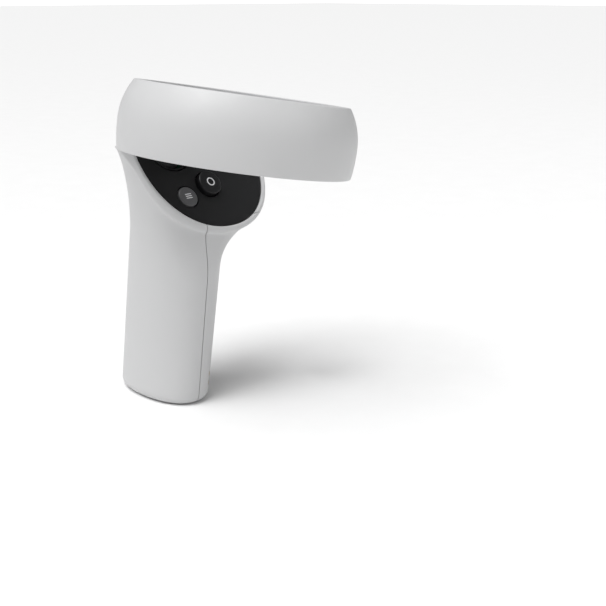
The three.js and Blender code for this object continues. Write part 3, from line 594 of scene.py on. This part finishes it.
def flexible_circuit(name, film, copper):
    material, tree, shader, place = started(name)
    wave = node_of(tree, "ShaderNodeTexWave", Scale=620, Distortion=0.0)
    wave.bands_direction = "DIAGONAL"
    tree.links.new(place, wave.inputs["Vector"])
    tree.links.new(shades(tree, wave.outputs["Fac"], film, copper, (0.45, 0.6)), shader.inputs["Base Color"])
    tree.links.new(between(tree, noise(tree, place, 1400, 3), 0.3, 0.5), shader.inputs["Roughness"])
    raised(tree, shader, wave.outputs["Fac"], 1e-5)
    return material


WHITE = moulded("satin_white", (0.56, 0.562, 0.566), 0.46, depth=2.5e-6, tint=0.012)
# The ring liner is the white shell's finish, made slightly darker and cooler: painted shade on the ring's
# concave inner face.
LINER_PAINTED_SHADE = moulded("liner_white_painted_shade", (0.52, 0.53, 0.545), 0.5, tint=0.015)
FACE_BLACK = moulded("soft_touch_black", (0.0075, 0.0075, 0.008), 0.45, grain=6400, tint=0.06, gloss=0.25)
BUTTON_BLACK = moulded("button_black", (0.006, 0.006, 0.0065), 0.36, grain=7000, tint=0.08, gloss=0.3)
MENU_GREY = moulded("menu_button_grey", (0.07, 0.07, 0.072), 0.42, grain=7000, tint=0.05)
MARK_GREY = moulded("mark_grey", (0.62, 0.62, 0.63), 0.5, depth=1e-6)
STICK_RUBBER = moulded(
    "stick_rubber", (0.016, 0.016, 0.018), 0.66, grain=2600, depth=1.2e-5, tint=0.12, sheen=0.12
)
MEMBRANE = moulded("membrane_rubber", (0.46, 0.46, 0.45), 0.55, grain=3000, depth=5e-6)
DARK_PLASTIC = moulded("dark_plastic", (0.03, 0.031, 0.034), 0.58, grain=2400, depth=9e-6, tint=0.1)
CELL_FILM = moulded("cell_film", (0.012, 0.012, 0.014), 0.24, grain=1300, depth=3e-6, tint=0.15, coat=0.4)
STEEL = metal("nickel_plate", (0.62, 0.62, 0.63), 0.28)
GOLD = metal("gold_plate", (0.83, 0.62, 0.26), 0.26)
BOARD = circuit("board_mask", (0.012, 0.1, 0.05), (0.05, 0.22, 0.1), 480)
FLEX = flexible_circuit("flex_film", (0.42, 0.19, 0.06), (0.6, 0.3, 0.12))

SLOT_MATERIALS = {
    "white_shell": WHITE,
    "grey_liner": LINER_PAINTED_SHADE,
    "face_black": FACE_BLACK,
    "button_black": BUTTON_BLACK,
    "stick_rubber": STICK_RUBBER,
    "membrane_rubber": MEMBRANE,
    "dark_plastic": DARK_PLASTIC,
    "cell_black": CELL_FILM,
    "steel": STEEL,
    "gold": GOLD,
    "board": BOARD,
    "flex": FLEX,
}

NODE_SLOTS = {part["node"]: part["material_slot"] for part in frame["record"]["subparts"]}
NODE_BODIES = {
    node: body for body, nodes in frame["record"]["behaviour"]["bodies"].items() for node in nodes
}


# ---------------------------------------------------------------- finished pieces
def to_scene(obj, name, material, body, nodes=(), crease=32):
    """Turns a finished solid into a shown piece: metres, smooth faces, finish, body and slot."""
    obj.data.transform(Matrix.Scale(MM, 4))
    obj.name = name
    obj.data.name = name
    obj.data.materials.clear()
    obj.data.materials.append(material)
    obj.data.shade_smooth()
    obj.data.set_sharp_from_angle(angle=math.radians(crease))
    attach(obj, body)
    if nodes:
        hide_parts(*nodes)
    return obj


def stands_for(obj, node, material=None, crease=32):
    """A finer piece in place of one CAD node, with that node's body and slot."""
    slot = NODE_SLOTS[node]
    finish = material or SLOT_MATERIALS[slot]
    return to_scene(obj, node + "_fine", finish, NODE_BODIES[node], (node,), crease)


def plate_recess():
    half = PLATE_HALF[0] + GAP, PLATE_HALF[1] + GAP
    outline = np.column_stack(super_outline(even_angles(*half, PLATE_POWER, COLUMNS), *half, PLATE_POWER))
    return prism(outline, -PLATE_THICKNESS - GAP, 25, HEAD)


def make_shells():
    shape = cut(body_solid(0), ring_zone(GAP))
    palm = cut(shape, inner_space())
    finger = palm.copy()
    cover = palm.copy()
    for copy in (finger, cover):
        copy.data = palm.data.copy()
        bpy.context.scene.collection.objects.link(copy)
    cut(palm, plate_recess(), finger_region(-GAP / 2), cover_region(-GAP / 2))
    cut(palm, grip_window(), trigger_window(), strap_notch(), stick_clearance())
    stands_for(largest_part(palm), "palm_shell")
    combined(finger, finger_region(GAP / 2), "INTERSECT")
    cut(finger, cover_region(-GAP / 2), grip_window())
    stands_for(largest_part(finger), "finger_shell")
    combined(cover, cover_region(GAP / 2), "INTERSECT")
    cut(cover, plate_recess())
    reach = Vector((math.cos(COVER_FACING), math.sin(COVER_FACING), 0)) * CHARGE_PIN_REACH
    for pin in range(1, 7):
        low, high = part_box(f"charge_pin_{pin}")
        middle = (low + high) / 2 / MM
        cut(cover, bar(middle - reach, middle + reach, CHARGE_PIN_HOLE))
    stands_for(largest_part(cover), "battery_cover")


def stick_clearance():
    """Room in the palm shell's wall for the thumbstick's skirt at full tilt."""
    return turned(arc(STICK["skirt"] + STICK_CLEARANCE, 0, math.pi, 40)[::-1], STICK_FRAME, 96)


def strap_notch():
    low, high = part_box("strap_bar")
    middle = (low + high) / 2 / MM
    return box(*STRAP_NOTCH.values(), middle.x, middle.y, 0)


def pad_solid(outline, hits, rise, back, direction):
    """A pillow that follows the body: an outline's rings drawn in to its middle, raised off the body's
    surface by rise(level, point), and closed by a back set below the same surface."""
    middle = np.mean(outline, axis=0)
    levels = np.sin(np.linspace(0, math.pi / 2, 22))[1:]
    count = len(outline)
    front, rear = [], []
    for level in levels:
        ring_points = middle + (np.asarray(outline) - middle) * level
        surface = np.array([hits(p) for p in ring_points])
        front.append(surface + np.outer([rise(level, p) for p in ring_points], direction))
        rear.append(surface - np.asarray(direction) * back)
    centre = np.array(hits(middle))
    points = [centre + np.asarray(direction) * rise(0, middle), centre - np.asarray(direction) * back]
    points += list(np.concatenate(front)) + list(np.concatenate(rear))
    faces = []
    for side, start, flip in ((0, 2, False), (1, 2 + count * len(levels), True)):
        for i in range(count):
            face = (side, start + i, start + (i + 1) % count)
            faces.append(face[::-1] if flip else face)
        for row in range(len(levels) - 1):
            below = start + row * count
            faces += strip(count, below, below + count, not flip)
    last_front = 2 + (len(levels) - 1) * count
    last_rear = 2 + (2 * len(levels) - 1) * count
    faces += strip(count, last_front, last_rear, True)
    return solid(points, faces)


def rounded_edge(level, power=7):
    """Full height over the middle, falling in a round shoulder at the outline."""
    return max(0.0, 1 - level**power) ** (1 / 2.4)


def body_tree():
    body = body_solid(0)
    tree = BVHTree.FromPolygons([v.co for v in body.data.vertices], [p.vertices for p in body.data.polygons])
    bpy.data.objects.remove(body)
    return tree


def make_pads():
    tree = body_tree()

    def grip_hit(point):
        y, z = point
        start = LEANING @ Vector((60, y, z))
        return tree.ray_cast(start, Vector((-1, 0, 0)))[0]

    def trigger_hit(point):
        x, z = point
        return tree.ray_cast(Vector((x, 80, z)), Vector((0, -1, 0)))[0]

    def grip_rise(level, point):
        return -GRIP["edge"] + (GRIP["proud"] + GRIP["edge"]) * rounded_edge(level)

    def trigger_rise(level, point):
        height = TRIGGER["lip_height"]
        foot = min(max((TRIGGER["low"] + height - point[1]) / height, 0), 1)
        lip = TRIGGER["lip"] * foot * foot * (3 - 2 * foot)
        return -TRIGGER["edge"] + (TRIGGER["proud"] + lip + TRIGGER["edge"]) * rounded_edge(level, 9)

    grip = pad_solid(grip_outline(0)[::-1], grip_hit, grip_rise, GRIP["back"], (1, 0, 0))
    stands_for(grip, "grip_button", crease=50)
    ends = [LEANING @ Vector((GRIP["pin_x"], y, GRIP["pin_z"])) for y in GRIP["pin_ends"]]
    stands_for(bar(*ends, GRIP["pin_radius"]), "grip_pin")
    trigger = pad_solid(trigger_outline(0), trigger_hit, trigger_rise, TRIGGER["back"], (0, 1, 0))
    pivot = TRIGGER_PIVOT
    ends = [(pivot["x"] + side * pivot["hub"] / 2, pivot["y"], pivot["z"]) for side in (-1, 1)]
    combined(trigger, bar(*ends, pivot["radius"]), "UNION")
    arm_y, arm_z = pivot["y"] + pivot["arm_depth"] / 2, pivot["z"] - pivot["arm_drop"]
    arm = box(pivot["hub"], pivot["arm_depth"], pivot["arm_height"], pivot["x"], arm_y, arm_z)
    combined(arm, body_solid(-1), "INTERSECT")
    combined(trigger, arm, "UNION")
    bore = bar((0, pivot["y"], pivot["z"]), (40, pivot["y"], pivot["z"]), pivot["bore"])
    cut(trigger, bore, ring_zone(TRIGGER["ring_gap"]))
    stands_for(largest_part(trigger), "trigger", crease=50)


def make_face_plate():
    angles = even_angles(*PLATE_HALF, PLATE_POWER, COLUMNS)
    edge = softened([(0.5, -PLATE_THICKNESS), (0, -PLATE_THICKNESS), (0, 0), (0.9, 0)], [0, 0.25, 0.5, 0])
    rings = []
    for inset, height in edge:
        x, y = super_outline(angles, PLATE_HALF[0] - inset, PLATE_HALF[1] - inset, PLATE_POWER)
        rings.append(np.column_stack([x, y, np.full(COLUMNS, height)]))
    plate = lofted(rings, HEAD)
    hole = STICK["hole"]
    collar = softened([(0, -5), (hole, -5), (hole, -0.9), (hole + 1.1, 1), (0, 1)], [0, 0, 1.0, 0, 0])
    cut(plate, ring_zone(GAP), turned(collar, HEAD @ Matrix.Translation((STICK["h"], STICK["w"], 0))))
    for button in BUTTONS.values():
        radius = button["radius"] + GAP
        seat = [(0, -5), (radius, -5), (radius, -0.35), (radius + 0.45, 0.3), (0, 0.3)]
        place = HEAD @ Matrix.Translation((button["h"], button["w"], 0))
        cut(plate, turned(softened(seat, [0, 0, 0.4, 0, 0]), place))
    stands_for(largest_part(plate), "face_plate")


def make_buttons():
    for name, button in BUTTONS.items():
        radius, proud = button["radius"], button["proud"]
        under = -PLATE_THICKNESS - GAP
        flange = radius + 0.9
        round_over = min(1.0, proud + 0.3)
        outline = [
            (0, under - 1.5),
            (2, under - 1.5),
            (2, under - 0.9),
            (flange, under - 0.9),
            (flange, under),
            (radius, under),
            (radius, proud),
            (radius - 1.6, proud + 0.16),
            (0, proud + 0.25),
        ]
        radii = [0, 0.1, 0.1, 0.15, 0.15, 0.1, round_over, 0.5, 0]
        place = HEAD @ Matrix.Translation((button["h"], button["w"], 0))
        material = MENU_GREY if name == "menu_button" else None
        stands_for(turned(softened(outline, radii, 7), place), name, material)
        make_mark(name, place @ Matrix.Translation((0, 0, proud + 0.16)))


def make_mark(name, top):
    """Plain printed marks: three bars on the flush button, a ring and a dot on the raised ones."""
    if name == "menu_button":
        half_length, half_width = 1.5, 0.17
        angles = even_angles(half_length, half_width, 8, 40)
        outline = np.column_stack(super_outline(angles, half_length, half_width, 8))
        places = [top @ Matrix.Translation((0, step, 0)) for step in (-0.85, 0, 0.85)]
        marks = [prism(outline, -0.1, 0.12, place) for place in places]
    elif name == "x_button":
        marks = [turned(softened([(1.35, -0.1), (1.8, -0.1), (1.8, 0.13), (1.35, 0.13)], 0.05), top, 72)]
    else:
        marks = [turned(softened([(0, -0.1), (0.85, -0.1), (0.85, 0.13), (0, 0.14)], 0.05), top, 48)]
    mark = marks[0]
    for extra in marks[1:]:
        combined(mark, extra, "UNION")
    to_scene(mark, name + "_mark", MARK_GREY, NODE_BODIES[name])


def arc(radius, start, end, count):
    return [(radius * math.sin(a), radius * math.cos(a)) for a in np.linspace(start, end, count)]


def make_thumbstick():
    neck, skirt, edge = 3, STICK["skirt"], math.radians(50)
    cap_radius, knurls = 6.9, 64
    under = softened([(neck, 12.2), (3.6, 13.4), (6.2, 13.7), (cap_radius, 14.4)], [0.6, 0.8, 0.5, 0])
    rim = [(cap_radius, height) for height in np.linspace(14.5, 15.7, 7)]
    dish = [(cap_radius, 16.7), (5.6, 16.85), (5, 16.3), (3.2, 16.05), (0, 15.9)]
    top = softened(dish, [0.7, 0.5, 0.5, 1.0, 0])
    inside = arc(skirt - 1, math.asin(1.9 / (skirt - 1)), edge, 14)
    outside = arc(skirt, edge, math.asin(neck / skirt), 18)

    def knurl(radius, height, angles):
        if radius < cap_radius - 0.2 or height < 14.3 or height > 16.2:
            return 0 * angles
        fade = math.sin(math.pi * (height - 14.3) / 1.9)
        return -0.28 * fade * np.clip(np.cos(knurls * angles) * 2 - 0.6, 0, 1)

    outline = [(0, 14.7), (1.9, 14.7)] + inside + outside + under + rim + top
    stands_for(turned(outline, STICK_FRAME, knurls * 8, knurl), "thumbstick", crease=48)
    ridges = []
    for radius in (1.6, 2.6):
        ridge = [(radius, 16.0), (radius + 0.35, 16.0), (radius + 0.35, 16.32), (radius, 16.32)]
        ridges.append(turned(softened(ridge, 0.12), STICK_FRAME, 96))
    joined = combined(*ridges, "UNION")
    to_scene(joined, "thumbstick_ridges", STICK_RUBBER, "thumbstick", crease=60)


def make_stick_bezel():
    top = STICK["depth"]
    hole = STICK["hole"]
    outline = [
        (hole - GAP, top - 0.35),
        (hole - 0.9, top - 0.35),
        (8, top - 2.4),
        (8, top - 3),
        (hole + 0.8, top - 3),
        (hole + 0.8, top - PLATE_THICKNESS - GAP),
        (hole - GAP, top - PLATE_THICKNESS - GAP),
    ]
    bezel = turned(softened(outline, [0.2, 0.3, 0.4, 0.2, 0, 0, 0]), STICK_FRAME)
    cut(bezel, ring_zone(GAP + 0.2))
    stands_for(bezel, "stick_bezel")


def make_ring():
    lip_top = RING_HALF_HEIGHT - RING_LIP
    outer = [(ring_outer_radius(s), s) for s in np.linspace(-RING_HALF_HEIGHT, RING_HALF_HEIGHT, 40)]
    inner = [(ring_outer_radius(s) - RING_WALL, s) for s in np.linspace(lip_top, -lip_top, 16)]
    outline = [(ring_inner_radius(-RING_HALF_HEIGHT), -RING_HALF_HEIGHT)] + outer
    outline += [(ring_inner_radius(s), s) for s in (RING_HALF_HEIGHT, lip_top)]
    outline += inner + [(ring_inner_radius(-lip_top), -lip_top)]
    radii = [0.35, 0.5] + [0] * 38 + [0.9, 0.5, 0] + [0] * 16 + [0]
    shell = turned(softened(outline, radii, 6), RING, RING_SIDES)
    stands_for(shell, "ring_outer_shell")
    edge = lip_top - GAP
    liner = [(ring_inner_radius(s), s) for s in np.linspace(-edge, edge, 12)]
    liner += [(ring_inner_radius(s) + 1.2, s) for s in np.linspace(edge, -edge, 12)]
    liner_radii = [0.3] + [0] * 10 + [0.3] * 2 + [0] * 10 + [0.3]
    stands_for(turned(softened(liner, liner_radii), RING, RING_SIDES), "ring_liner")


def finish_carried_nodes():
    """Every CAD node that still shows gets its slot's finish."""
    for name, obj in frame["nodes"].items():
        if obj.hide_render:
            continue
        material = SLOT_MATERIALS[NODE_SLOTS[name]]
        for place in obj.material_slots:
            place.material = material
        if not obj.material_slots:
            obj.data.materials.append(material)


# ---------------------------------------------------------------- camera, lights and floor
def area_light(name, place, size, power):
    light = bpy.data.lights.new(name, "AREA")
    light.shape = "DISK"
    light.size = size
    light.energy = power
    obj = bpy.data.objects.new(name, light)
    bpy.context.scene.collection.objects.link(obj)
    obj.location = place
    obj.rotation_euler = (Vector(LIGHT_AIM) - Vector(place)).to_track_quat("-Z", "Y").to_euler()


def make_camera():
    camera = bpy.data.cameras.new("camera")
    camera.lens = CAMERA["lens"]
    camera.sensor_width = CAMERA["sensor"]
    camera.clip_start = CAMERA["near"]
    obj = bpy.data.objects.new("camera", camera)
    bpy.context.scene.collection.objects.link(obj)
    right, up = Vector(CAMERA["right"]), Vector(CAMERA["up"])
    turn = Matrix((right, up, right.cross(up))).transposed().to_4x4()
    obj.matrix_world = Matrix.Translation(CAMERA["place"]) @ turn
    bpy.context.scene.camera = obj


def make_lights():
    area_light("key", **KEY_LIGHT)
    area_light("fill", **FILL_LIGHT)
    sun = bpy.data.lights.new("sky_panel", "SUN")
    sun.energy = SKY_PANEL["strength"]
    sun.angle = SKY_PANEL["spread"]
    overhead = bpy.data.objects.new("sky_panel", sun)
    overhead.rotation_euler = Vector(SKY_PANEL["from"]).to_track_quat("Z", "Y").to_euler()
    bpy.context.scene.collection.objects.link(overhead)


def make_backdrop():
    """A white world that the camera sees bright, and that lights the object softly."""
    world = bpy.data.worlds.new("studio")
    bpy.context.scene.world = world
    world.use_nodes = True
    background = world.node_tree.nodes["Background"]
    background.inputs["Color"].default_value = (1, 1, 1, 1)
    seen = world.node_tree.nodes.new("ShaderNodeLightPath").outputs["Is Camera Ray"]
    strength = between(world.node_tree, seen, WORLD_LIGHT, WORLD_SEEN, (0, 1))
    world.node_tree.links.new(strength, background.inputs["Strength"])
    bpy.context.scene.view_settings.view_transform = "Standard"


def make_floor():
    mesh = bpy.data.meshes.new("floor")
    half = FLOOR_HALF
    corners = [(-half, -half, 0), (half, -half, 0), (half, half, 0), (-half, half, 0)]
    mesh.from_pydata(corners, [], [(0, 1, 2, 3)])
    mesh.materials.append(moulded("floor_card", (0.86, 0.86, 0.86), 0.7, grain=300, depth=1e-5, tint=0.01))
    floor = bpy.data.objects.new("floor", mesh)
    floor.location.z = -FLOOR_DROP
    bpy.context.scene.collection.objects.link(floor)


make_camera()
make_lights()
make_backdrop()
make_floor()
make_shells()
make_pads()
make_face_plate()
make_buttons()
make_thumbstick()
make_stick_bezel()
make_ring()
finish_carried_nodes()
